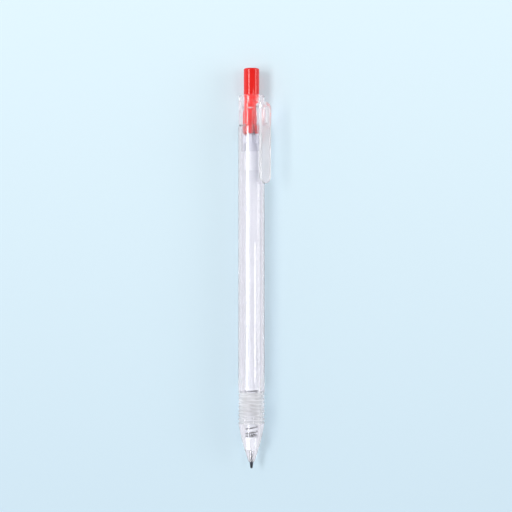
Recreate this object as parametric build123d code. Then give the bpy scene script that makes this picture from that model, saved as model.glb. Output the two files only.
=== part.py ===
from build123d import *
import math
import os

# Clear click pen with its tip out, lying along X: tip at -X, button at +X, origin on the axis at half its length.
# Sizes are in millimetres.

# Lengths along the pen, from the tip
TIP_REACH = 2.4
NOSE_LENGTH = 13.75
BARREL_LENGTH = 105.45
CAP_LENGTH = 10.8
BUTTON_REACH = 9.6

# Travel of the button from the writing state: pressed in to unlatch, and out when the tip is drawn back
OVERPRESS = 1.2
RETRACT = 4.3

# Fits
PUSH_FIT = 0.03
RUNNING_FIT = 0.08
SEAT_GAP = 0.05
STOP_GAP = 0.1

# Barrel and grip
BARREL_D = 9.4
BARREL_WALL = 1.05
RIB_COUNT = 8
RIB_PITCH = 1.39
RIB_DEPTH = 0.36
RIB_GROOVE = 0.62
BORE_TAPER_SETBACK = 0.6
BORE_TAPER_LENGTH = 4.4
THROAT_RELIEF = 0.4
JOINT_EDGE = 0.3

# Spring
WIRE_D = 0.42
SPRING_D = 4.4
SPRING_LENGTH = 16.5
SPRING_CLEARANCE = 0.35
STEM_CLEARANCE = 0.2
ACTIVE_TURNS = 8.5
END_TURNS = 1.0
END_PITCH = 0.9

# Nose cone and the bush in it
NOSE_BULGE = 0.33
NOSE_LIP = 0.3
NOSE_SPIGOT_LENGTH = 5.85
NOSE_SPIGOT_WALL = 0.9
BUSH_SETBACK = 4.35
BUSH_LENGTH = 4.75
BUSH_LEDGE = 0.2
BUSH_TAPER = 0.35

# Tip
BALL_D = 0.7
BALL_FIT = 0.02
BALL_SHOW = 0.25
POINT_LIP = 0.06
POINT_LENGTH = 2.4
POINT_SPIGOT = 2.0
SLEEVE_D = 1.32
SLEEVE_WALL = 0.25
SLEEVE_SEAT = 4.0
INK_CHANNEL_D = 0.3
TIP_GUIDE_FIT = 0.06

# Refill
REFILL_D = 5.2
REFILL_WALL = 0.65
REFILL_CLEARANCE = 0.25
FLANGE_LENGTH = 0.7
HOLDER_PLUG = 4.8
HOLDER_CHANNEL_D = 1.2
HOLDER_GAP = 0.8
AIR_LENGTH = 13.55
FOLLOWER_LENGTH = 5.0

# Rear cap, button and cam
CAP_STEP = 0.1
CAP_EDGE = 0.3
CAP_SPIGOT_LENGTH = 9.2
CAP_SPIGOT_WALL = 0.62
GUIDE_DROP = 2.2
GUIDE_COUNT = 6
GUIDE_TURN = 7.0
GUIDE_DEPTH = 0.4
GUIDE_SLACK = 0.1
PRONG_WIDTH = 1.1
PRONG_LENGTH = 2.9
CROWN_DROP = 0.7
CROWN_NOTCH = 0.8
HEAD_STEP = 0.25
HEAD_SINK = 0.8
HEAD_EDGE = 0.35
HEAD_ROOF = 2.5
STEM_WALL = 0.75
ROTOR_LENGTH = 13.1
ROTOR_SHANK_LENGTH = 7.0
ROTOR_SHANK_CLEARANCE = 0.45
ROTOR_NECK_STEP = 0.35
FIN_LENGTH = 3.3
FIN_SLOPE = 0.6
ROTOR_PIN_LENGTH = 5.0
ROTOR_PIN_CLEARANCE = 0.15
ROTOR_PLUG_LENGTH = 2.5
ROTOR_VENT_D = 1.2

# Clip, which stands off the barrel on the turned side
CLIP_TURN = 45.0
CLIP_GAP = 1.5
CLIP_WIDTH = 5.0
CLIP_THICKNESS = 1.2
CLIP_ROOT_LENGTH = 8.2
CLIP_ARM_LENGTH = 20.6
CLIP_EDGE = 0.25
CLIP_CROTCH = 0.7
WINDOW_LENGTH = 5.3
WINDOW_WIDTH = 1.3
WINDOW_LIFT = 0.75
LUG_SLACK = 0.35
LUG_SIDE_SLACK = 0.1
LUG_RECESS = 0.9
NUB_LENGTH = 2.6
NUB_SETBACK = 0.9
NUB_CLEARANCE = 0.9

# Stations along X
overall = TIP_REACH + NOSE_LENGTH + BARREL_LENGTH + CAP_LENGTH + BUTTON_REACH
tip_x = -overall / 2
nose_x = tip_x + TIP_REACH
joint_x = nose_x + NOSE_LENGTH
cap_x = joint_x + BARREL_LENGTH
cap_top_x = cap_x + CAP_LENGTH
button_top_x = cap_top_x + BUTTON_REACH
bush_x = nose_x + BUSH_SETBACK
seat_x = bush_x + BUSH_LENGTH
flange_x = seat_x + SPRING_LENGTH
tube_x = flange_x + FLANGE_LENGTH
stem_end_x = seat_x + OVERPRESS + HOLDER_GAP
sleeve_x = tip_x + POINT_LENGTH
sleeve_top_x = stem_end_x + SLEEVE_SEAT
guide_x = cap_x - GUIDE_DROP
crown_x = guide_x - CROWN_DROP
prong_top_x = crown_x + PRONG_LENGTH
head_x = cap_top_x - HEAD_SINK
fin_top_x = crown_x - SEAT_GAP
rotor_x = crown_x - ROTOR_LENGTH
fin_x = fin_top_x - FIN_LENGTH

# Radii that follow from the fits
barrel_r = BARREL_D / 2
bore_r = barrel_r - BARREL_WALL
throat_r = SPRING_D / 2 + SPRING_CLEARANCE
nose_spigot_r = throat_r + NOSE_SPIGOT_WALL
sleeve_r = SLEEVE_D / 2
guide_hole_r = sleeve_r + TIP_GUIDE_FIT
bush_top_r = throat_r - BUSH_LEDGE
bush_end_r = bush_top_r - BUSH_TAPER
holder_stem_r = SPRING_D / 2 - WIRE_D - STEM_CLEARANCE
refill_r = REFILL_D / 2
tube_bore_r = refill_r - REFILL_WALL
cap_r = barrel_r - CAP_STEP
cap_spigot_r = bore_r - PUSH_FIT
cam_bore_r = cap_spigot_r - CAP_SPIGOT_WALL
prong_r = cam_bore_r - RUNNING_FIT
stem_r = prong_r - GUIDE_DEPTH
head_r = stem_r + HEAD_STEP
plunger_bore_r = stem_r - STEM_WALL
clip_z = barrel_r + CLIP_GAP
clip_reach = clip_z + CLIP_THICKNESS


def turned(points):
    """A solid of revolution about the pen's axis from its half section, given as (x, radius) points."""
    outline = Polyline(*points, close=True)
    return revolve(make_face(outline.edges()), Axis.X)


def rod(x0, x1, radius):
    """A round bar along the pen's axis."""
    return turned([(x0, 0), (x1, 0), (x1, radius), (x0, radius)])


def tube(x0, x1, outer, inner):
    """A round tube along the pen's axis."""
    return turned([(x0, inner), (x1, inner), (x1, outer), (x0, outer)])


def block(x0, x1, width, z0, z1):
    """A box along the pen's axis, centred across it."""
    return Pos((x0 + x1) / 2, 0, (z0 + z1) / 2) * Box(x1 - x0, width, z1 - z0)


def around_axis(shape, count, first_turn):
    """Copies of a shape, evenly spaced about the pen's axis."""
    return [Rot(first_turn + 360 * i / count, 0, 0) * shape for i in range(count)]


def make_barrel():
    """Clear tube with ring grooves for the grip, a throat that passes the spring and a bevelled rear edge."""
    spigot_end = joint_x + NOSE_SPIGOT_LENGTH + STOP_GAP
    throat_end = flange_x - OVERPRESS - THROAT_RELIEF
    taper_start = flange_x + BORE_TAPER_SETBACK
    relief_r = refill_r + REFILL_CLEARANCE
    body = turned([
        (joint_x, nose_spigot_r + PUSH_FIT),
        (spigot_end, nose_spigot_r + PUSH_FIT),
        (spigot_end, throat_r),
        (throat_end, throat_r),
        (throat_end, relief_r),
        (taper_start, relief_r),
        (taper_start + BORE_TAPER_LENGTH, bore_r),
        (cap_x, bore_r),
        (cap_x, barrel_r - JOINT_EDGE),
        (cap_x - JOINT_EDGE, barrel_r),
        (joint_x, barrel_r),
    ])
    for i in range(RIB_COUNT):
        middle = joint_x + (i + 0.5) * RIB_PITCH
        low = middle - RIB_GROOVE / 2
        high = middle + RIB_GROOVE / 2
        body -= tube(low, high, barrel_r + RIB_DEPTH, barrel_r - RIB_DEPTH)
    return body


def make_nose_cone():
    """Bulging cone with a spigot for the barrel, a tapered seat for the bush and a hole for the tip."""
    end_r = guide_hole_r + NOSE_LIP
    middle = ((nose_x + joint_x) / 2, (end_r + barrel_r) / 2 + NOSE_BULGE)
    outline = [
        ThreePointArc((nose_x, end_r), middle, (joint_x, barrel_r)),
        *Polyline((joint_x, barrel_r), (joint_x, 0), (nose_x, 0), (nose_x, end_r)).edges(),
    ]
    spigot_end = joint_x + NOSE_SPIGOT_LENGTH
    cone = revolve(make_face(outline), Axis.X) + rod(joint_x, spigot_end, nose_spigot_r)
    hollow = turned([
        (nose_x, 0),
        (nose_x, guide_hole_r),
        (bush_x, guide_hole_r),
        (bush_x, bush_end_r + PUSH_FIT),
        (seat_x, bush_top_r + PUSH_FIT),
        (seat_x, throat_r),
        (spigot_end, throat_r),
        (spigot_end, 0),
    ])
    return cone - hollow


def make_tip_guide():
    """White bush that guides the tip. Its rear face seats the spring."""
    return turned([
        (bush_x, guide_hole_r),
        (seat_x, guide_hole_r),
        (seat_x, bush_top_r),
        (bush_x, bush_end_r),
    ])


def coil_nodes():
    """Points and directions of the spring's centre line, a quarter turn apart."""
    mean_r = (SPRING_D - WIRE_D) / 2
    length = SPRING_LENGTH - 2 * SEAT_GAP - WIRE_D
    pitch = (length - 2 * END_TURNS * END_PITCH) / ACTIVE_TURNS
    quarters = round(4 * (ACTIVE_TURNS + 2 * END_TURNS))
    first_active = round(4 * END_TURNS)
    last_active = quarters - first_active

    def rise(quarter):
        """Advance over the quarter turn that starts here."""
        active = first_active <= quarter < last_active
        return (pitch if active else END_PITCH) / 4

    nodes = []
    x = seat_x + SEAT_GAP + WIRE_D / 2
    for quarter in range(quarters + 1):
        angle = math.pi / 2 * quarter
        before = rise(max(quarter - 1, 0))
        after = rise(min(quarter, quarters - 1))
        slope = (before + after) / math.pi
        point = Vector(x, mean_r * math.cos(angle), mean_r * math.sin(angle))
        across = Vector(0, -mean_r * math.sin(angle), mean_r * math.cos(angle))
        nodes.append((point, (across + Vector(slope, 0, 0)).normalized()))
        x += after
    return nodes


def biarc(p0, t0, p1, t1):
    """Two tangent arcs from p0 along t0 to p1 along t1."""
    span = p1 - p0
    lean = span.dot(t0 + t1)
    bend = 2 * (t0.dot(t1) - 1)
    leg = (lean - math.sqrt(lean * lean - bend * span.dot(span))) / bend
    near = p0 + t0 * leg
    far = p1 - t1 * leg
    meet = (near + far) * 0.5
    return [TangentArc(p0, meet, tangent=t0), TangentArc(meet, p1, tangent=far - near)]


def least_gap(path):
    """Least space between two turns of the wire, measured on points of its centre line."""
    per_turn = 48
    count = round(per_turn * (ACTIVE_TURNS + 2 * END_TURNS))
    points = [path @ (i / count) for i in range(count + 1)]
    apart = per_turn // 2
    return min((b - a).length for i, a in enumerate(points) for b in points[i + apart:]) - WIRE_D


def make_spring():
    """Return spring: one wire along arcs, wound closer in its end turns."""
    nodes = coil_nodes()
    arcs = []
    for (p0, t0), (p1, t1) in zip(nodes, nodes[1:]):
        arcs += biarc(p0, t0, p1, t1)
    path = Wire(arcs)
    start, direction = nodes[0]
    section = Plane(origin=start, z_dir=direction) * Circle(WIRE_D / 2)
    print("spring: least gap", round(least_gap(path), 3), "mm, wire length", round(path.length, 1), "mm")
    return sweep(section, path)


def make_tip_holder():
    """White holder: a stem inside the spring, a flange for the spring and a plug in the refill tube."""
    plug_end = tube_x + HOLDER_PLUG
    outside = turned([
        (stem_end_x, 0),
        (stem_end_x, holder_stem_r),
        (flange_x, holder_stem_r),
        (flange_x, refill_r),
        (tube_x, refill_r),
        (tube_x, tube_bore_r - PUSH_FIT),
        (plug_end, tube_bore_r - PUSH_FIT),
        (plug_end, 0),
    ])
    socket = rod(stem_end_x, sleeve_top_x, sleeve_r + PUSH_FIT)
    channel = rod(stem_end_x, plug_end, HOLDER_CHANNEL_D / 2)
    return outside - socket - channel


def make_tip_sleeve():
    """Bright metal tube from the holder to the point."""
    return tube(sleeve_x, sleeve_top_x, sleeve_r, sleeve_r - SLEEVE_WALL)


def make_tip_point():
    """Dark conical point, with a spigot in the sleeve and a socket that holds the ball."""
    front = tip_x + BALL_SHOW
    socket_r = BALL_D / 2 + BALL_FIT
    mouth_r = math.sqrt(socket_r ** 2 - (BALL_D / 2 - BALL_SHOW) ** 2)
    spigot_end = sleeve_x + POINT_SPIGOT
    point = turned([
        (front, 0),
        (front, mouth_r + POINT_LIP),
        (sleeve_x, sleeve_r),
        (sleeve_x, sleeve_r - SLEEVE_WALL - PUSH_FIT),
        (spigot_end, sleeve_r - SLEEVE_WALL - PUSH_FIT),
        (spigot_end, 0),
    ])
    socket = Pos(tip_x + BALL_D / 2, 0, 0) * Sphere(socket_r)
    return point - socket - rod(tip_x + BALL_D / 2, spigot_end, INK_CHANNEL_D / 2)


def make_ball():
    """Writing ball."""
    return Pos(tip_x + BALL_D / 2, 0, 0) * Sphere(BALL_D / 2)


def make_refill_tube():
    """Ink tube from the holder's flange to the rotor's shank."""
    return tube(tube_x, rotor_x, refill_r, tube_bore_r)


def make_ink(start, length):
    """A column of ink or grease that fills the refill tube."""
    return rod(start, start + length, tube_bore_r - PUSH_FIT)


def make_rear_cap():
    """Clear cap with a spigot in the barrel, guide grooves for the cam and a lug for the clip."""
    spigot_end = cap_x - CAP_SPIGOT_LENGTH
    head_seat = head_x - OVERPRESS - STOP_GAP
    cap = turned([
        (spigot_end, cam_bore_r),
        (guide_x, cam_bore_r),
        (guide_x, stem_r + RUNNING_FIT),
        (head_seat, stem_r + RUNNING_FIT),
        (head_seat, head_r + RUNNING_FIT),
        (cap_top_x, head_r + RUNNING_FIT),
        (cap_top_x, cap_r - CAP_EDGE),
        (cap_top_x - CAP_EDGE, cap_r),
        (cap_x + JOINT_EDGE, cap_r),
        (cap_x, cap_r - JOINT_EDGE),
        (cap_x, cap_spigot_r),
        (spigot_end, cap_spigot_r),
    ])
    groove_top = prong_top_x + RETRACT + STOP_GAP
    groove_width = PRONG_WIDTH + 2 * GUIDE_SLACK
    groove = block(guide_x - STOP_GAP, groove_top, groove_width, 0, 2 * cam_bore_r) & rod(
        guide_x - STOP_GAP, groove_top, cam_bore_r
    )
    for copy in around_axis(groove, GUIDE_COUNT, CLIP_TURN + GUIDE_TURN):
        cap -= copy
    lug_x = cap_x + WINDOW_LIFT + LUG_SLACK
    lug_length = WINDOW_LENGTH - 2 * LUG_SLACK
    lug_base = cap_r - CAP_EDGE
    lug = block(lug_x, lug_x + lug_length, WINDOW_WIDTH - 2 * LUG_SIDE_SLACK, lug_base, clip_reach - LUG_RECESS)
    return cap + Rot(CLIP_TURN, 0, 0) * lug


def make_push_button():
    """Red plunger: a round head, a hollow stem and a notched crown with guide prongs."""
    body = turned([
        (crown_x, plunger_bore_r),
        (crown_x, stem_r),
        (head_x, stem_r),
        (head_x, head_r),
        (button_top_x, head_r),
        (button_top_x, 0),
        (button_top_x - HEAD_ROOF, 0),
        (button_top_x - HEAD_ROOF, plunger_bore_r),
    ])
    rim = body.edges().filter_by(GeomType.CIRCLE).sort_by(Axis.X)[-1]
    body = fillet(rim, HEAD_EDGE)
    prong = block(crown_x, prong_top_x, PRONG_WIDTH, plunger_bore_r + STEM_WALL / 2, 2 * prong_r) & rod(
        crown_x, prong_top_x, prong_r
    )
    half_width = PRONG_WIDTH / 2
    notch_outline = Polyline(
        (crown_x, -half_width), (crown_x + CROWN_NOTCH, 0), (crown_x, half_width), close=True
    )
    notch = extrude(make_face(notch_outline.edges()), 2 * prong_r)
    half_step = 180 / GUIDE_COUNT
    for copy in around_axis(prong, GUIDE_COUNT, CLIP_TURN + GUIDE_TURN):
        body += copy
    for copy in around_axis(notch, GUIDE_COUNT, CLIP_TURN + GUIDE_TURN + half_step):
        body -= copy
    return body


def make_cam_rotor():
    """White rotor: a plug in the refill, a shank, fins with sloped tops and a pin up the plunger's bore."""
    shank_r = cam_bore_r - ROTOR_SHANK_CLEARANCE
    shank_end = rotor_x + ROTOR_SHANK_LENGTH
    core_r = stem_r - SEAT_GAP
    core_top = fin_top_x - FIN_SLOPE
    neck_r = core_r - ROTOR_NECK_STEP
    pin_r = plunger_bore_r - ROTOR_PIN_CLEARANCE
    pin_end = core_top + ROTOR_PIN_LENGTH
    rotor = turned([
        (rotor_x - ROTOR_PLUG_LENGTH, 0),
        (rotor_x - ROTOR_PLUG_LENGTH, tube_bore_r - PUSH_FIT),
        (rotor_x, tube_bore_r - PUSH_FIT),
        (rotor_x, shank_r),
        (shank_end, shank_r),
        (shank_end, neck_r),
        (fin_x, neck_r),
        (fin_x, core_r),
        (core_top, core_r),
        (core_top, pin_r),
        (pin_end, pin_r),
        (pin_end, 0),
    ])
    half_width = PRONG_WIDTH / 2
    fin_outline = Polyline(
        (fin_x, -half_width),
        (fin_top_x - FIN_SLOPE, -half_width),
        (fin_top_x, half_width),
        (fin_x, half_width),
        close=True,
    )
    fin = extrude(make_face(fin_outline.edges()), 2 * prong_r) & tube(fin_x, fin_top_x, prong_r, neck_r)
    for copy in around_axis(fin, GUIDE_COUNT, CLIP_TURN + GUIDE_TURN):
        rotor += copy
    return rotor - rod(rotor_x - ROTOR_PLUG_LENGTH, pin_end, ROTOR_VENT_D / 2)


def make_clip():
    """Clear clip: a root block round the cap with a window for the lug, and an arm that ends in a nub."""
    root_top = cap_x + CLIP_ROOT_LENGTH
    arm_end = cap_x - CLIP_ARM_LENGTH
    half_width = CLIP_WIDTH / 2
    plan = SlotCenterToCenter(root_top - arm_end - CLIP_WIDTH, CLIP_WIDTH)
    face = Pos((root_top + arm_end) / 2, 0, clip_z) * plan
    arm = extrude(face, CLIP_THICKNESS, dir=(0, 0, 1))
    arm = fillet(arm.faces().sort_by(Axis.Z)[-1].edges(), CLIP_EDGE)
    root_plan = Pos((cap_x + root_top - half_width) / 2, 0, 0) * Rectangle(CLIP_ROOT_LENGTH - half_width, CLIP_WIDTH)
    root_plan += Pos(root_top - half_width, 0, 0) * Circle(half_width)
    root = extrude(root_plan, clip_z + CLIP_EDGE, dir=(0, 0, 1))
    crotch = block(cap_x - CLIP_CROTCH, cap_x, CLIP_WIDTH, clip_z - CLIP_CROTCH, clip_z)
    crotch -= Pos(cap_x - CLIP_CROTCH, 0, clip_z - CLIP_CROTCH) * Rot(90, 0, 0) * Cylinder(CLIP_CROTCH, 2 * CLIP_WIDTH)
    nub_x = arm_end + NUB_SETBACK + NUB_LENGTH / 2
    nub_drop = CLIP_GAP - NUB_CLEARANCE
    nub_r = (nub_drop ** 2 + (NUB_LENGTH / 2) ** 2) / (2 * nub_drop)
    nub = Pos(nub_x, 0, clip_z - nub_drop + nub_r) * Sphere(nub_r)
    nub &= block(nub_x - NUB_LENGTH, nub_x + NUB_LENGTH, CLIP_WIDTH, 0, clip_z + CLIP_EDGE)
    window_x = cap_x + WINDOW_LIFT
    window = block(window_x, window_x + WINDOW_LENGTH, WINDOW_WIDTH, 0, 2 * clip_reach)
    clip = arm + root + crotch + nub - rod(arm_end, root_top, cap_r + SEAT_GAP) - window
    return Rot(CLIP_TURN, 0, 0) * clip


ink_x = tube_x + HOLDER_PLUG + SEAT_GAP
follower_x = rotor_x - ROTOR_PLUG_LENGTH - AIR_LENGTH - FOLLOWER_LENGTH
parts = {
    "barrel": make_barrel(),
    "nose_cone": make_nose_cone(),
    "tip_guide": make_tip_guide(),
    "spring": make_spring(),
    "tip_holder": make_tip_holder(),
    "tip_sleeve": make_tip_sleeve(),
    "tip_point": make_tip_point(),
    "ball": make_ball(),
    "refill_tube": make_refill_tube(),
    "ink": make_ink(ink_x, follower_x - ink_x),
    "ink_follower": make_ink(follower_x, FOLLOWER_LENGTH),
    "cam_rotor": make_cam_rotor(),
    "push_button": make_push_button(),
    "rear_cap": make_rear_cap(),
    "clip": make_clip(),
}

os.makedirs("parts", exist_ok=True)
for name, shape in parts.items():
    export_step(shape, f"parts/{name}.step")
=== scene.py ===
import bpy
import math
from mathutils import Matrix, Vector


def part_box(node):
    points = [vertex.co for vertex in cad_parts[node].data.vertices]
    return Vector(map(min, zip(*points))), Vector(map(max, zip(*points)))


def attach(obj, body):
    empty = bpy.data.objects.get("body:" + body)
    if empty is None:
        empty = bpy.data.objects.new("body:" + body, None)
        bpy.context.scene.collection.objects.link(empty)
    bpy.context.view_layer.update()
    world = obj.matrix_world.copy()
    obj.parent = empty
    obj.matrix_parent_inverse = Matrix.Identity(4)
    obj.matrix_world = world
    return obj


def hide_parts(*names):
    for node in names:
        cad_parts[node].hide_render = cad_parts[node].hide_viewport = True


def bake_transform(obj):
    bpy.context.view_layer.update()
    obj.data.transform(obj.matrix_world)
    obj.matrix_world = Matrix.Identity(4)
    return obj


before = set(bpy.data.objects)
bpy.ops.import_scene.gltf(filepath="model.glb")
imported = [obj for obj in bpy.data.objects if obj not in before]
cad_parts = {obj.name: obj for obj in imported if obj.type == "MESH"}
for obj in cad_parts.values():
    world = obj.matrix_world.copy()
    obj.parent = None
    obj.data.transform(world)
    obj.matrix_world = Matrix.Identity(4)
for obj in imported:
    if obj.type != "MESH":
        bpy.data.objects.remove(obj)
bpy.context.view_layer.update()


# Barrel: a clear polystyrene tube, moulded in one with the eight soft ribs of its frosted grip.
# It is spun from its half section. The nose cone and the rear cap are pushed into its two ends.
MM = 0.001
barrel_front, barrel_rear = [corner.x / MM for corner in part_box("barrel")]
barrel_r = 4.7
barrel_edge = 0.3
bore_r = 3.65
funnel_end = barrel_front + 16.85
flange_room_r = 2.85
flange_room_end = barrel_front + 12.45
spring_room_r = 2.55
spring_room_end = barrel_front + 10.25
socket_r = 3.48
socket_end = barrel_front + 5.95
rib_count = 8
rib_pitch = 1.39
rib_depth = 0.36
rib_steps = 12
valley_share = 0.8
grip_end = barrel_front + rib_count * rib_pitch
grip_skin_r = 4.2


def eased(section, ease):
    """A closed half section with each sharp corner off the axis rounded by up to `ease` mm."""
    least_turn, most_of_side = 0.25, 0.4
    points = []
    for i, (x, r) in enumerate(section):
        xa, ra = section[i - 1]
        xb, rb = section[(i + 1) % len(section)]
        before = math.hypot(xa - x, ra - r)
        after = math.hypot(xb - x, rb - r)
        turn = ((x - xa) * (rb - r) - (r - ra) * (xb - x)) / (before * after)
        if r == 0 or abs(turn) < least_turn:
            points.append((x, r))
            continue
        cut = min(ease, most_of_side * before, most_of_side * after)
        xa, ra = x + (xa - x) * cut / before, r + (ra - r) * cut / before
        xb, rb = x + (xb - x) * cut / after, r + (rb - r) * cut / after
        for t in (0, 0.25, 0.5, 0.75, 1):
            a, b, c = (1 - t) ** 2, 2 * t * (1 - t), t * t
            points.append((a * xa + b * x + c * xb, a * ra + b * r + c * rb))
    return points


def drawn(name, points):
    """A new mesh, left in edit mode, that holds one line through the points, in mm."""
    bpy.ops.object.select_all(action="DESELECT")
    bpy.ops.mesh.primitive_plane_add(size=MM)
    bpy.context.object.name = name
    bpy.ops.object.mode_set(mode="EDIT")
    bpy.ops.mesh.merge(type="CENTER")
    bpy.ops.transform.translate(value=[MM * v for v in points[0]])
    for start, end in zip(points, points[1:]):
        step = [MM * (b - a) for a, b in zip(start, end)]
        bpy.ops.mesh.extrude_vertices_move(TRANSFORM_OT_translate={"value": step})
    bpy.ops.mesh.select_all(action="SELECT")
    bpy.ops.mesh.remove_doubles(threshold=1e-7)
    return bpy.context.object


def closed_up(piece, smooth):
    """Merge the seams of the mesh in edit mode, turn its faces outwards and shade it smooth
    where its faces meet at less than an angle in degrees."""
    bpy.ops.mesh.select_all(action="SELECT")
    bpy.ops.mesh.remove_doubles(threshold=1e-7)
    bpy.ops.mesh.normals_make_consistent(inside=False)
    bpy.ops.object.mode_set(mode="OBJECT")
    bpy.ops.object.shade_smooth_by_angle(angle=math.radians(smooth))
    return piece


def lathe(name, section, steps=128):
    """Spin a half section, (x, radius) points in mm, about the pen's axis.
    The section is closed first, unless both its ends are on the axis."""
    line = [(x, 0, r) for x, r in section]
    if section[0][1] or section[-1][1]:
        line.append(line[0])
    piece = drawn(name, line)
    bpy.ops.mesh.spin(steps=steps, angle=math.tau, center=(0, 0, 0), axis=(1, 0, 0))
    return closed_up(piece, smooth=40)


grip = []
for i in range(rib_count):
    for k in range(-rib_steps // 2, rib_steps // 2):
        phase = max(-0.5, min(0.5, k / rib_steps / valley_share))
        valley = 0.5 + 0.5 * math.cos(math.tau * phase)
        grip.append((barrel_front + (i + 0.5 + k / rib_steps) * rib_pitch, barrel_r - rib_depth * valley))
barrel_section = grip + eased([
    (grip_end, barrel_r),
    (barrel_rear - barrel_edge, barrel_r),
    (barrel_rear, barrel_r - barrel_edge),
    (barrel_rear, bore_r),
    (funnel_end, bore_r),
    (flange_room_end, flange_room_r),
    (spring_room_end, flange_room_r),
    (spring_room_end, spring_room_r),
    (socket_end, spring_room_r),
    (socket_end, socket_r),
    (barrel_front, socket_r),
], ease=0.12)
barrel_shell = lathe("barrel_shell", barrel_section)

# A Mix node has its factor, its two colours and the mixed colour on these sockets.
FACTOR, COLOUR_A, COLOUR_B, MIXED = 0, 6, 7, 2


def srgb(r, g, b):
    """A colour as written for the screen, where 255 is full, as linear light."""
    return [((v / 255 + 0.055) / 1.055) ** 2.4 for v in (r, g, b)] + [1]


def surface(name, colours, roughness, grain, bump, values):
    """A Principled material on object coordinates. A noise, with its grain per mm along and across
    the pen, mixes two colours, sets the roughness between two values and lifts the surface by up to
    `bump` mm."""
    material = bpy.data.materials.new(name)
    material.use_nodes = True
    nodes, links = material.node_tree.nodes, material.node_tree.links
    shader = nodes["Principled BSDF"]
    for socket, value in values.items():
        shader.inputs[socket].default_value = value
    coords = nodes.new("ShaderNodeTexCoord")
    stretch = nodes.new("ShaderNodeMapping")
    stretch.inputs["Scale"].default_value = (grain[0] / MM, grain[1] / MM, grain[1] / MM)
    noise = nodes.new("ShaderNodeTexNoise")
    noise.inputs["Scale"].default_value = 1
    noise.inputs["Detail"].default_value = 3
    mix = nodes.new("ShaderNodeMix")
    mix.data_type = "RGBA"
    mix.inputs[COLOUR_A].default_value = srgb(*colours[0])
    mix.inputs[COLOUR_B].default_value = srgb(*colours[1])
    spread = nodes.new("ShaderNodeMapRange")
    spread.inputs["From Min"].default_value = 0.3
    spread.inputs["From Max"].default_value = 0.7
    spread.inputs["To Min"].default_value = roughness[0]
    spread.inputs["To Max"].default_value = roughness[1]
    relief = nodes.new("ShaderNodeBump")
    relief.inputs["Distance"].default_value = bump * MM
    links.new(coords.outputs["Object"], stretch.inputs["Vector"])
    links.new(stretch.outputs["Vector"], noise.inputs["Vector"])
    links.new(noise.outputs["Fac"], mix.inputs[FACTOR])
    links.new(mix.outputs[MIXED], shader.inputs["Base Color"])
    links.new(noise.outputs["Fac"], spread.inputs["Value"])
    links.new(spread.outputs["Result"], shader.inputs["Roughness"])
    links.new(noise.outputs["Fac"], relief.inputs["Height"])
    links.new(relief.outputs["Normal"], shader.inputs["Normal"])
    return material


def lets_lamps_through(material, tint):
    """Make the shadow of a clear material a light tint instead of black."""
    nodes, links = material.node_tree.nodes, material.node_tree.links
    path = nodes.new("ShaderNodeLightPath")
    bare = nodes.new("ShaderNodeBsdfTransparent")
    bare.inputs["Color"].default_value = srgb(*tint)
    pick = nodes.new("ShaderNodeMixShader")
    links.new(path.outputs["Is Shadow Ray"], pick.inputs[0])
    links.new(nodes["Principled BSDF"].outputs["BSDF"], pick.inputs[1])
    links.new(bare.outputs["BSDF"], pick.inputs[2])
    links.new(pick.outputs["Shader"], nodes["Material Output"].inputs["Surface"])


def clear(name, haze, roughness, tint, ior=1.5):
    """Clear plastic with faint flow lines along the pen: part of its light is scattered as haze."""
    material = surface(
        name, colours=[(246, 246, 249), (250, 250, 252)], roughness=roughness, grain=(0.03, 0.3),
        bump=0.0002, values={"Transmission Weight": 1 - haze, "IOR": ior},
    )
    lets_lamps_through(material, tint)
    return material


def fitted(piece, material, body, node):
    """Give a piece its material, let it ride on its body and stand for its CAD node."""
    piece.data.materials.clear()
    piece.data.materials.append(material)
    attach(piece, body)
    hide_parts(node)


clear_plastic = clear("clear_plastic", haze=0.012, roughness=(0.01, 0.03), tint=(232, 233, 237))
grip_frost = clear("grip_frost", haze=0.45, roughness=(0.2, 0.3), tint=(226, 227, 231))
fitted(barrel_shell, clear_plastic, "barrel", "barrel")
barrel_shell.data.materials.append(grip_frost)
for face in barrel_shell.data.polygons:
    if face.center.x < grip_end * MM and face.center.yz.length > grip_skin_r * MM:
        face.material_index = 1


# Nose cone: a bulging cone of the same clear plastic with a long spigot, spun from its half section.
# The spigot is pushed into the barrel, and the tip comes out through the hole in its front end.
nose_front, spigot_end = [corner.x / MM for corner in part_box("nose_cone")]
bush_front, bush_rear = [corner.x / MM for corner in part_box("tip_guide")]
push_fit = 0.03
spigot_r = socket_r - push_fit
nose_tip_r = 1.02
nose_swell = 0.33
swell_steps = 24
bush_seat_front_r, bush_seat_rear_r = 2.03, 2.38
tip_hole_r = 0.72
bulge = []
for i in range(swell_steps + 1):
    t = i / swell_steps
    cone_r = nose_tip_r + (barrel_r - nose_tip_r) * t
    bulge.append((nose_front + (barrel_front - nose_front) * t, cone_r + 4 * nose_swell * t * (1 - t)))
nose_section = eased(bulge + [
    (barrel_front, spigot_r),
    (spigot_end, spigot_r),
    (spigot_end, spring_room_r),
    (bush_rear, spring_room_r),
    (bush_rear, bush_seat_rear_r),
    (bush_front, bush_seat_front_r),
    (bush_front, tip_hole_r),
    (nose_front, tip_hole_r),
], ease=0.12)
nose_shell = lathe("nose_shell", nose_section)
fitted(nose_shell, clear_plastic, "barrel", "nose_cone")


# Tip guide: a satin white bush, spun from its half section and seated in the nose cone.
# It steadies the tip, and the spring stands on its rear face.
seat_gap = 0.05
white_plastic = surface(
    "white_plastic", colours=[(234, 234, 238), (240, 240, 243)], roughness=(0.28, 0.4), grain=(0.8, 0.8),
    bump=0.002, values={"IOR": 1.48},
)
guide_bush = lathe("guide_bush", eased([
    (bush_front, tip_hole_r),
    (bush_rear, tip_hole_r),
    (bush_rear, bush_seat_rear_r - seat_gap),
    (bush_front, bush_seat_front_r - seat_gap),
], ease=0.15), steps=96)
fitted(guide_bush, white_plastic, "barrel", "tip_guide")


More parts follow.
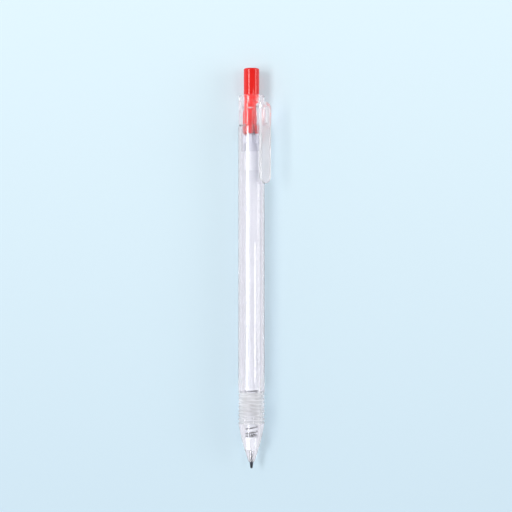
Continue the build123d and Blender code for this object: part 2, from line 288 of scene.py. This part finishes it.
# Spring: a return spring of drawn steel wire, wound closer in its two end turns.
# It is a round-bevelled helix, and it stretches between the bush and the flange of the tip holder.
spring_front, spring_rear = [corner.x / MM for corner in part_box("spring")]
wire = 0.42
coil_r = 1.99
end_turns, active_turns, end_pitch = 1, 8.5, 0.9
active_pitch = (spring_rear - spring_front - wire - 2 * end_turns * end_pitch) / active_turns
per_turn = 40
coil = bpy.data.curves.new("spring_coil", "CURVE")
coil.dimensions = "3D"
coil.bevel_depth = wire / 2 * MM
coil.bevel_resolution = 5
coil.use_fill_caps = True
line = coil.splines.new("POLY")
count = round(per_turn * (2 * end_turns + active_turns))
line.points.add(count)
x = spring_front + wire / 2
for i in range(count + 1):
    turn = i / per_turn
    angle = math.tau * turn
    line.points[i].co = (x * MM, coil_r * math.cos(angle) * MM, coil_r * math.sin(angle) * MM, 1)
    is_active = end_turns <= turn < end_turns + active_turns
    x += (active_pitch if is_active else end_pitch) / per_turn
spring_coil = bpy.data.objects.new("spring_coil", coil)
bpy.context.collection.objects.link(spring_coil)
bpy.ops.object.select_all(action="DESELECT")
spring_coil.select_set(True)
bpy.context.view_layer.objects.active = spring_coil
bpy.ops.object.convert(target="MESH")
spring_coil = bpy.context.object
bpy.ops.object.shade_smooth_by_angle(angle=math.radians(40))
spring_steel = surface(
    "spring_steel", colours=[(120, 120, 124), (196, 196, 200)], roughness=(0.16, 0.3), grain=(3, 3),
    bump=0.004, values={"Metallic": 1.0},
)
spring_coil.data.materials.append(spring_steel)
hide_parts("spring")
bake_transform(spring_coil)


# Tip holder: a white plug with a long stem, spun from its half section and pushed into the refill tube.
# The spring pushes on its flange, and the tip's sleeve is pressed into its front end.
holder_front, holder_rear = [corner.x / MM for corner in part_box("tip_holder")]
sleeve_front, sleeve_rear = [corner.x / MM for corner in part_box("tip_sleeve")]
tube_front, tube_rear = [corner.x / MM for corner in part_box("refill_tube")]
tube_r, tube_bore_r = 2.6, 1.95
plug_r = tube_bore_r - push_fit
sleeve_r = 0.66
sleeve_hole_r = sleeve_r + push_fit
ink_channel_r = 0.6
flange_front = tube_front - 0.7
holder_stem_r = 1.58
stem_plug = lathe("stem_plug", eased([
    (holder_front, sleeve_hole_r),
    (sleeve_rear, sleeve_hole_r),
    (sleeve_rear, ink_channel_r),
    (holder_rear, ink_channel_r),
    (holder_rear, plug_r),
    (tube_front, plug_r),
    (tube_front, tube_r),
    (flange_front, tube_r),
    (flange_front, holder_stem_r),
    (holder_front, holder_stem_r),
], ease=0.15), steps=96)
fitted(stem_plug, white_plastic, "cartridge", "tip_holder")


# Tip sleeve: a bright drawn metal tube with fine turning lines, spun from its half section.
# It is pressed into the holder and carries the point.
sleeve_bore_r = 0.41
bright_metal = surface(
    "bright_metal", colours=[(128, 129, 134), (186, 186, 190)], roughness=(0.06, 0.14), grain=(12, 0.2),
    bump=0.0015, values={"Metallic": 1.0},
)
metal_sleeve = lathe("metal_sleeve", eased([
    (sleeve_front, sleeve_bore_r),
    (sleeve_rear, sleeve_bore_r),
    (sleeve_rear, sleeve_r),
    (sleeve_front, sleeve_r),
], ease=0.06), steps=64)
fitted(metal_sleeve, bright_metal, "cartridge", "tip_sleeve")


# Tip point: a dark turned metal cone with a spigot in the sleeve and a socket for the ball.
# It is spun from its half section, with its lip rolled in over the ball.
point_front, point_rear = [corner.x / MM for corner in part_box("tip_point")]
ball_low, ball_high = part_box("ball")
ball_x = (ball_low.x + ball_high.x) / 2 / MM
ball_socket_r = 0.37
ink_hole_r = 0.15
point_spigot_r = sleeve_bore_r - push_fit
point_lip_r = 0.416
lip_angle = math.pi - math.acos((ball_x - point_front) / ball_socket_r)
socket_sweep = math.pi / 2 - 0.42
socket_steps = 12
ball_socket = []
for i in range(socket_steps + 1):
    angle = lip_angle - socket_sweep * i / socket_steps
    ball_socket.append((ball_x + ball_socket_r * math.cos(angle), ball_socket_r * math.sin(angle)))
dark_metal = surface(
    "dark_metal", colours=[(52, 55, 64), (84, 87, 96)], roughness=(0.22, 0.36), grain=(14, 0.2),
    bump=0.0015, values={"Metallic": 1.0},
)
cone_point = lathe("cone_point", eased(ball_socket + [
    (ball_x + ball_socket_r, ink_hole_r),
    (point_rear, ink_hole_r),
    (point_rear, point_spigot_r),
    (sleeve_front, point_spigot_r),
    (sleeve_front, sleeve_r),
    (point_front, point_lip_r),
], ease=0.03), steps=64)
fitted(cone_point, dark_metal, "cartridge", "tip_point")


# Ball: a polished carbide writing ball, held in the point's socket so that it can roll.
# It is a sphere, moved to the very tip in edit mode.
ball_r = 0.35
bpy.ops.object.select_all(action="DESELECT")
bpy.ops.mesh.primitive_uv_sphere_add(segments=48, ring_count=24, radius=ball_r * MM)
writing_ball = bpy.context.object
writing_ball.name = "writing_ball"
bpy.ops.object.mode_set(mode="EDIT")
bpy.ops.mesh.select_all(action="SELECT")
bpy.ops.transform.translate(value=(ball_x * MM, 0, 0))
closed_up(writing_ball, smooth=40)
ball_metal = surface(
    "ball_metal", colours=[(150, 150, 154), (196, 196, 200)], roughness=(0.1, 0.2), grain=(6, 6),
    bump=0.001, values={"Metallic": 1.0},
)
fitted(writing_ball, ball_metal, "ball", "ball")


# Refill tube: a milky extruded tube with faint lines along it, spun from its half section.
# It joins the tip holder to the rotor and hides the ink.
refill_plastic = surface(
    "refill_plastic", colours=[(221, 221, 226), (228, 228, 232)], roughness=(0.2, 0.3), grain=(0.02, 1.2),
    bump=0.002, values={"IOR": 1.5},
)
refill_shell = lathe("refill_shell", eased([
    (tube_front, tube_bore_r),
    (tube_rear, tube_bore_r),
    (tube_rear, tube_r),
    (tube_front, tube_r),
], ease=0.1), steps=96)
fitted(refill_shell, refill_plastic, "cartridge", "refill_tube")


# Ink: the dark wet column in the refill, spun with a hollow rear end where it meets the follower.
# It fills the tube from the holder's plug.
ink_front, ink_rear = [corner.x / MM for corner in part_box("ink")]
ink_r = plug_r
ink_hollow = 0.5


def hollow_end(rear, depth, steps=8):
    """The half section of a liquid's hollow rear end, from the tube's wall to the axis."""
    return [(rear - depth * (1 - (i / steps) ** 2), ink_r * i / steps) for i in range(steps, -1, -1)]


ink_look = surface(
    "ink", colours=[(14, 14, 20), (34, 34, 44)], roughness=(0.05, 0.12), grain=(0.5, 0.5),
    bump=0.002, values={"IOR": 1.4},
)
ink_section = [(ink_front, 0), (ink_front, ink_r)] + hollow_end(ink_rear, ink_hollow)
ink_column = lathe("ink_column", ink_section, steps=64)
fitted(ink_column, ink_look, "cartridge", "ink")


# Ink follower: a plug of clear yellow grease behind the ink, spun with a bulging front and a hollow rear.
# It creeps along the tube as the ink is used.
grease_front, grease_rear = [corner.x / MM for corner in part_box("ink_follower")]
ink_gap = 0.02
grease_hollow = 0.6
grease_nose = hollow_end(grease_front + ink_gap, ink_hollow)[::-1]
grease_look = surface(
    "follower_grease", colours=[(226, 214, 176), (240, 230, 200)], roughness=(0.08, 0.2), grain=(0.6, 0.6),
    bump=0.004, values={"IOR": 1.45, "Transmission Weight": 0.6},
)
lets_lamps_through(grease_look, tint=(236, 230, 210))
grease_plug = lathe("grease_plug", grease_nose + hollow_end(grease_rear, grease_hollow), steps=64)
fitted(grease_plug, grease_look, "cartridge", "ink_follower")


# Cam rotor: a white moulding with six fins, a shank that butts on the refill tube and a pin up the plunger.
# The core is spun; the fins are plates with sloped tops, set round it and welded on.
rotor_front, rotor_rear = [corner.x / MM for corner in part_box("cam_rotor")]
vent_r = 0.6
pin_r = 1.62
fin_rear = rotor_rear - 4.4
fin_front = fin_rear - 3.3
fin_slope = 0.6
fin_core_r = 2.47
neck_r = 2.12
shank_r = 2.55
shank_end = tube_rear + 7
fin_foot_r = 2.0
guide_r = 2.87
guide_half = 0.55
guide_turn, guide_count = 52, 6
guide_turns = [guide_turn + 360 / guide_count * i for i in range(guide_count)]
crease = math.radians(35)


def plate(name, outline, low, high):
    """A flat plate between two heights in mm from its (x, y) outline."""
    piece = drawn(name, [(x, y, low) for x, y in outline + outline[:1]])
    bpy.ops.mesh.edge_face_add()
    bpy.ops.mesh.extrude_region_move(TRANSFORM_OT_translate={"value": (0, 0, (high - low) * MM)})
    return closed_up(piece, smooth=30)


def rolled(piece, degrees):
    """Turn a piece's mesh about the pen's axis."""
    bpy.ops.object.select_all(action="DESELECT")
    bpy.context.view_layer.objects.active = piece
    bpy.ops.object.mode_set(mode="EDIT")
    bpy.ops.mesh.select_all(action="SELECT")
    bpy.ops.transform.rotate(value=-math.radians(degrees), orient_axis="X", center_override=(0, 0, 0))
    bpy.ops.object.mode_set(mode="OBJECT")
    return piece


def combined(piece, tool, operation):
    """Cut a tool out of a piece, or weld it on, and drop the tool."""
    change = piece.modifiers.new("change", "BOOLEAN")
    change.operation = operation
    change.object = tool
    change.solver = "EXACT"
    bpy.context.view_layer.objects.active = piece
    bpy.ops.object.modifier_apply(modifier="change")
    bpy.data.objects.remove(tool)


cam_body = lathe("cam_body", eased([
    (rotor_front, vent_r),
    (rotor_rear, vent_r),
    (rotor_rear, pin_r),
    (fin_rear - fin_slope, pin_r),
    (fin_rear - fin_slope, fin_core_r),
    (fin_front, fin_core_r),
    (fin_front, neck_r),
    (shank_end, neck_r),
    (shank_end, shank_r),
    (tube_rear, shank_r),
    (tube_rear, plug_r),
    (rotor_front, plug_r),
], ease=0.12), steps=96)
fin_outline = [
    (fin_front, -guide_half), (fin_rear - fin_slope, -guide_half),
    (fin_rear, guide_half), (fin_front, guide_half),
]
for turn in guide_turns:
    combined(cam_body, rolled(plate("fin", fin_outline, fin_foot_r, guide_r), turn), "UNION")
bpy.ops.object.shade_smooth_by_angle(angle=crease)
fitted(cam_body, white_plastic, "cartridge", "cam_rotor")


# Push button: the red glossy plunger, with a round head, a hollow stem and a crown of six guide prongs.
# The body is spun; the prongs are plates welded on, and a notch is cut between each two of them.
button_front, button_rear = [corner.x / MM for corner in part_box("push_button")]
cap_front, cap_rear = [corner.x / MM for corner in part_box("rear_cap")]
stem_r, stem_bore_r = 2.52, 1.77
head_r = 2.77
head_front = cap_rear - 0.8
head_floor = button_rear - 2.5
head_round = 0.45
round_steps = 6
dish_r, dish_depth = 1.4, 0.06
prong_foot_r = 2.1
prong_end = button_front + 2.9
prong_chamfer = 0.3
notch_half, notch_depth, notch_overcut = 0.7, 0.8, 0.2
notch_low, notch_high = 1, 4
head_edge = []
for i in range(round_steps + 1):
    angle = math.pi / 2 * i / round_steps
    head_edge.append((
        button_rear - head_round + head_round * math.sin(angle),
        head_r - head_round + head_round * math.cos(angle),
    ))
plunger = lathe("plunger", eased([
    (button_front, stem_bore_r),
    (button_front, stem_r),
    (head_front, stem_r),
    (head_front, head_r),
] + head_edge + [
    (button_rear - dish_depth, dish_r),
    (button_rear - dish_depth, 0),
    (head_floor, 0),
    (head_floor, stem_bore_r),
], ease=0.08), steps=128)
prong_outline = [
    (button_front, -guide_half), (prong_end - prong_chamfer, -guide_half),
    (prong_end, prong_chamfer - guide_half), (prong_end, guide_half - prong_chamfer),
    (prong_end - prong_chamfer, guide_half), (button_front, guide_half),
]
notch_outline = [
    (button_front - notch_overcut, -notch_half), (button_front + notch_depth, 0),
    (button_front - notch_overcut, notch_half),
]
half_step = 180 / guide_count
for turn in guide_turns:
    combined(plunger, rolled(plate("prong", prong_outline, prong_foot_r, guide_r), turn), "UNION")
    notch = plate("notch", notch_outline, notch_low, notch_high)
    combined(plunger, rolled(notch, turn + half_step), "DIFFERENCE")
bpy.ops.object.shade_smooth_by_angle(angle=crease)
red_plastic = surface(
    "red_plastic", colours=[(236, 24, 20), (242, 32, 28)], roughness=(0.04, 0.09), grain=(0.2, 0.2),
    bump=0.0006, values={"IOR": 1.48},
)
fitted(plunger, red_plastic, "button", "push_button")


# Rear cap: a clear cap with a spigot in the barrel, grooves that guide the prongs and a lug for the clip.
# The body is spun and the grooves are cut into its bore. The lug is moulded on in the real cap; here it is
# a plate of its own, a hair off the cap's wall, because it bends light less.
seam = barrel_rear
slide_fit = 0.08
cap_r = 4.6
cap_edge = 0.3
cap_spigot_r, cap_spigot_bore_r = bore_r - push_fit, 3.0
guide_start = seam - 2.2
guide_bore_r = stem_r + slide_fit
head_room_r = head_r + slide_fit
head_room_front = cap_rear - 2.1
groove_r = 2.98
groove_half = 0.65
groove_end = seam + 4.4
groove_fade = 1.5
groove_overcut = 0.1
groove_low = 1
clip_turn = 45
lug_front, lug_rear = seam + 1.1, seam + 5.7
lug_half = 0.55
lug_low, lug_high = 4.62, 6.5
cap_shell = lathe("cap_shell", eased([
    (cap_front, cap_spigot_bore_r),
    (guide_start, cap_spigot_bore_r),
    (guide_start, guide_bore_r),
    (head_room_front, guide_bore_r),
    (head_room_front, head_room_r),
    (cap_rear, head_room_r),
    (cap_rear, cap_r - cap_edge),
    (cap_rear - cap_edge, cap_r),
    (seam + cap_edge, cap_r),
    (seam, cap_r - cap_edge),
    (seam, cap_spigot_r),
    (cap_front, cap_spigot_r),
], ease=0.1))
groove_profile = [
    (guide_start - groove_overcut, groove_low), (groove_end + groove_fade, groove_low),
    (groove_end + groove_fade, guide_bore_r), (groove_end, groove_r),
    (guide_start - groove_overcut, groove_r),
]
for turn in guide_turns:
    groove = plate("groove", groove_profile, -groove_half, groove_half)
    combined(cap_shell, rolled(groove, 90 + turn), "DIFFERENCE")
bpy.ops.object.shade_smooth_by_angle(angle=crease)
cap_plastic = clear("cap_plastic", haze=0.012, roughness=(0.01, 0.03), tint=(253, 253, 254))
fitted(cap_shell, cap_plastic, "barrel", "rear_cap")
lug_outline = [(lug_front, -lug_half), (lug_rear, -lug_half), (lug_rear, lug_half), (lug_front, lug_half)]
lug_plastic = clear("lug_plastic", haze=0.1, roughness=(0.03, 0.07), tint=(236, 237, 241), ior=1.2)
cap_lug = rolled(plate("cap_lug", lug_outline, lug_low, lug_high), clip_turn)
cap_lug.data.materials.append(lug_plastic)
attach(cap_lug, "barrel")


# Clip: a clear moulded clip with a sunk panel on its arm, a window in its root and a nub under its end.
# The arm is a rounded plate; the root is welded on and hollowed for the cap, whose lug stands in the window.
# The root bends light only a little, the arm is hazy, and the walls of the window are near-white, a painted
# highlight that makes the window read as a bright bar.
clip_end, clip_top = [corner.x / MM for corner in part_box("clip")]
clip_half = 2.5
arm_low, arm_high = 6.2, 7.4
arm_ease = 0.25
panel_inset = 0.8
panel_top = seam - 0.3
panel_floor, panel_cut_high = 7.25, 8
root_low = 2
root_setback = 4
weld = 0.1
clip_seat_r, seat_cut_length = cap_r + seat_gap, 200
window_room = 0.35
window_front, window_rear = lug_front - window_room, lug_rear + window_room
window_half = 0.65
window_low, window_high = 0, 9
nub_half = 1.3
nub_drop = 0.6
nub_setback = 0.9
nub_x = clip_end + nub_setback + nub_half
nub_r = (nub_drop ** 2 + nub_half ** 2) / (2 * nub_drop)


def stadium(x0, x1, radius):
    """The (x, y) outline of a strip with round ends."""
    steps = 24
    points = []
    for i in range(steps + 1):
        angle = math.pi / 2 + math.pi * i / steps
        points.append((x0 + radius + radius * math.cos(angle), radius * math.sin(angle)))
    return points + [(x0 + x1 - x, -y) for x, y in points]


clip_arm = plate("clip_arm", stadium(clip_end, clip_top, clip_half), arm_low, arm_high)
ease = clip_arm.modifiers.new("ease", "BEVEL")
ease.width = arm_ease * MM
ease.segments = 3
ease.limit_method = "ANGLE"
ease.angle_limit = math.radians(40)
bpy.ops.object.modifier_apply(modifier="ease")
panel_outline = stadium(clip_end + panel_inset, panel_top, clip_half - panel_inset)
combined(clip_arm, plate("panel", panel_outline, panel_floor, panel_cut_high), "DIFFERENCE")
root_outline = [(x, y) for x, y in stadium(seam - root_setback, clip_top, clip_half) if x > seam]
root_outline = [(seam, -clip_half)] + root_outline + [(seam, clip_half)]
combined(clip_arm, plate("root", root_outline, root_low, arm_low + weld), "UNION")
bpy.ops.object.select_all(action="DESELECT")
bpy.ops.mesh.primitive_cylinder_add(
    vertices=128, radius=clip_seat_r * MM, depth=seat_cut_length * MM, rotation=(0, math.pi / 2, 0)
)
combined(clip_arm, bpy.context.object, "DIFFERENCE")
window_outline = [
    (window_front, -window_half), (window_rear, -window_half),
    (window_rear, window_half), (window_front, window_half),
]
combined(clip_arm, plate("window", window_outline, window_low, window_high), "DIFFERENCE")
bpy.ops.mesh.primitive_uv_sphere_add(
    segments=48, ring_count=32, radius=nub_r * MM,
    location=(nub_x * MM, 0, (arm_low - nub_drop + nub_r) * MM),
)
nub = bpy.context.object
bpy.ops.object.mode_set(mode="EDIT")
bpy.ops.mesh.select_all(action="SELECT")
bpy.ops.mesh.bisect(
    plane_co=(0, 0, (arm_low + weld) * MM), plane_no=(0, 0, 1), use_fill=True, clear_outer=True
)
closed_up(nub, smooth=40)
combined(clip_arm, nub, "UNION")
bpy.ops.object.mode_set(mode="EDIT")
bpy.ops.mesh.select_all(action="SELECT")
bpy.ops.mesh.bisect(plane_co=(0, 0, arm_low * MM), plane_no=(0, 0, 1))
bpy.ops.object.mode_set(mode="OBJECT")
rolled(clip_arm, clip_turn)
bpy.ops.object.shade_smooth_by_angle(angle=crease)
root_plastic = clear("root_plastic", haze=0.02, roughness=(0.01, 0.03), tint=(242, 243, 246), ior=1.12)
clip_haze = clear("clip_haze", haze=0.3, roughness=(0.03, 0.07), tint=(205, 207, 212))
# Painted highlight: a near-white, almost fully hazy plastic for the walls of the clip's window only, so that
# they shine as a bright bar.
painted_highlight_plastic = clear("painted_highlight_plastic", haze=0.9, roughness=(0.15, 0.25), tint=(246, 246, 248))
fitted(clip_arm, root_plastic, "clip", "clip")
clip_arm.data.materials.append(clip_haze)
clip_arm.data.materials.append(painted_highlight_plastic)
wall_reach = 0.05
# The clip is rolled by 45 degrees, so its ways out and across are the diagonals of Y and Z.
for face in clip_arm.data.polygons:
    along = face.center.x / MM
    out = (face.center.z - face.center.y) / math.sqrt(2) / MM
    across = (face.center.z + face.center.y) / math.sqrt(2) / MM
    is_wall = abs(face.normal.z - face.normal.y) < 0.5
    is_left_edge = is_wall and along > seam and across > window_half + wall_reach
    in_length = window_front - wall_reach < along < window_rear + wall_reach
    by_window = is_wall and in_length and abs(across) < window_half + wall_reach
    # The walls of the window take the near-white plastic of the painted highlight.
    if by_window and out > arm_low:
        face.material_index = 2
    elif out > arm_low - weld and not is_left_edge:
        face.material_index = 1


# Floor: a plain pale blue sheet under the pen, paler towards the button, as in the photo.
# Part of its brightness is a glow of its own, which keeps the shadow light. Rays that come through
# the clear plastic see more of that glow and a whiter sheet.
floor_gap = 0.02
bpy.ops.object.select_all(action="DESELECT")
bpy.ops.mesh.primitive_plane_add(size=4, location=(0, 0, -(barrel_r + floor_gap) * MM))
floor = bpy.context.object
floor.name = "floor"
paper = bpy.data.materials.new("paper")
paper.use_nodes = True
nodes, links = paper.node_tree.nodes, paper.node_tree.links
sheet = nodes["Principled BSDF"]
sheet.inputs["Roughness"].default_value = 0.9
sheet.inputs["Specular IOR Level"].default_value = 0
coords = nodes.new("ShaderNodeTexCoord")
split = nodes.new("ShaderNodeSeparateXYZ")
along = nodes.new("ShaderNodeMapRange")
along.inputs["From Min"].default_value = -0.09
along.inputs["From Max"].default_value = 0.1
fade = nodes.new("ShaderNodeMix")
fade.data_type = "RGBA"
fade.inputs[COLOUR_A].default_value = srgb(209, 231, 244)
fade.inputs[COLOUR_B].default_value = srgb(227, 247, 256)
path = nodes.new("ShaderNodeLightPath")
seen = nodes.new("ShaderNodeMix")
seen.data_type = "RGBA"
seen.inputs[COLOUR_B].default_value = srgb(240, 240, 246)
links.new(coords.outputs["Object"], split.inputs["Vector"])
links.new(split.outputs["X"], along.inputs["Value"])
links.new(along.outputs["Result"], fade.inputs[FACTOR])
links.new(path.outputs["Is Transmission Ray"], seen.inputs[FACTOR])
links.new(fade.outputs[MIXED], seen.inputs[COLOUR_A])
links.new(seen.outputs[MIXED], sheet.inputs["Emission Color"])
shaded = nodes.new("ShaderNodeMapRange")
shaded.inputs["To Min"].default_value = 0.75
shaded.inputs["To Max"].default_value = 0.5
glowing = nodes.new("ShaderNodeMath")
glowing.operation = "SUBTRACT"
glowing.inputs[0].default_value = 1.02
tone = nodes.new("ShaderNodeMix")
tone.data_type = "RGBA"
tone.inputs[COLOUR_A].default_value = (0, 0, 0, 1)
links.new(path.outputs["Is Transmission Ray"], shaded.inputs["Value"])
links.new(shaded.outputs["Result"], glowing.inputs[1])
links.new(glowing.outputs["Value"], sheet.inputs["Emission Strength"])
links.new(shaded.outputs["Result"], tone.inputs[FACTOR])
links.new(seen.outputs[MIXED], tone.inputs[COLOUR_B])
links.new(tone.outputs[MIXED], sheet.inputs["Base Color"])
floor.data.materials.append(paper)


# Lights: a long softbox above the photo's left, a low fill on its right and a small strip for the thin
# highlight along the barrel. The pale surround is brighter towards the horizon and the left.
def softbox(name, angle, distance, size, offset, strength):
    """An area light of radiance `strength` that leans from the zenith towards +Y by an angle in degrees.
    Its size is in metres along and across the pen, and its offset is along the pen."""
    lamp = bpy.data.lights.new(name, "AREA")
    lamp.shape = "RECTANGLE"
    lamp.size, lamp.size_y = size
    lamp.energy = strength * math.pi * size[0] * size[1]
    holder = bpy.data.objects.new(name, lamp)
    lean = math.radians(angle)
    holder.location = (offset, distance * math.sin(lean), distance * math.cos(lean))
    holder.rotation_euler = (-lean, 0, 0)
    bpy.context.collection.objects.link(holder)


softbox("key", angle=38, distance=3, size=(1.9, 0.7), offset=0, strength=10)
softbox("fill", angle=-68, distance=3, size=(2, 1.2), offset=0, strength=3.6)
softbox("strip", angle=-31, distance=3, size=(0.485, 0.7), offset=-0.058, strength=7)
world = bpy.data.worlds.new("surround")
world.use_nodes = True
nodes, links = world.node_tree.nodes, world.node_tree.links
coords = nodes.new("ShaderNodeTexCoord")
split = nodes.new("ShaderNodeSeparateXYZ")
height = nodes.new("ShaderNodeMapRange")
height.inputs["To Min"].default_value = 0.82
height.inputs["To Max"].default_value = 0.31
links.new(coords.outputs["Generated"], split.inputs["Vector"])
links.new(split.outputs["Z"], height.inputs["Value"])
side = nodes.new("ShaderNodeMapRange")
side.inputs["From Min"].default_value = -1
side.inputs["To Min"].default_value = 0.75
side.inputs["To Max"].default_value = 1.2
glow = nodes.new("ShaderNodeMath")
glow.operation = "MULTIPLY"
links.new(split.outputs["Y"], side.inputs["Value"])
links.new(height.outputs["Result"], glow.inputs[0])
links.new(side.outputs["Result"], glow.inputs[1])
links.new(glow.outputs["Value"], nodes["Background"].inputs["Strength"])
nodes["Background"].inputs["Color"].default_value = (1, 1, 1, 1)
bpy.context.scene.world = world


# Camera: straight above the pen with the button at the top, as in the photo.
# It has a long lens, half a metre up, so the pen is seen almost without perspective.
camera_x, camera_y, camera_height = 0.00444, -0.0016, 0.505
camera = bpy.data.objects.new("camera", bpy.data.cameras.new("camera"))
camera.data.lens = 100
camera.data.sensor_width = 36
camera.location = (camera_x, camera_y, camera_height)
camera.rotation_euler = (0, 0, -math.pi / 2)
bpy.context.collection.objects.link(camera)
bpy.context.scene.camera = camera
bpy.context.scene.view_settings.view_transform = "Standard"


# Light paths: light that runs along the clear tube is turned back at its walls many times before it leaves.
# At the usual count of bounces it would be lost there and leave the tube black when seen from an end.
bounces = 64
paths = bpy.context.scene.cycles
paths.max_bounces = bounces
paths.glossy_bounces = bounces
paths.transmission_bounces = bounces
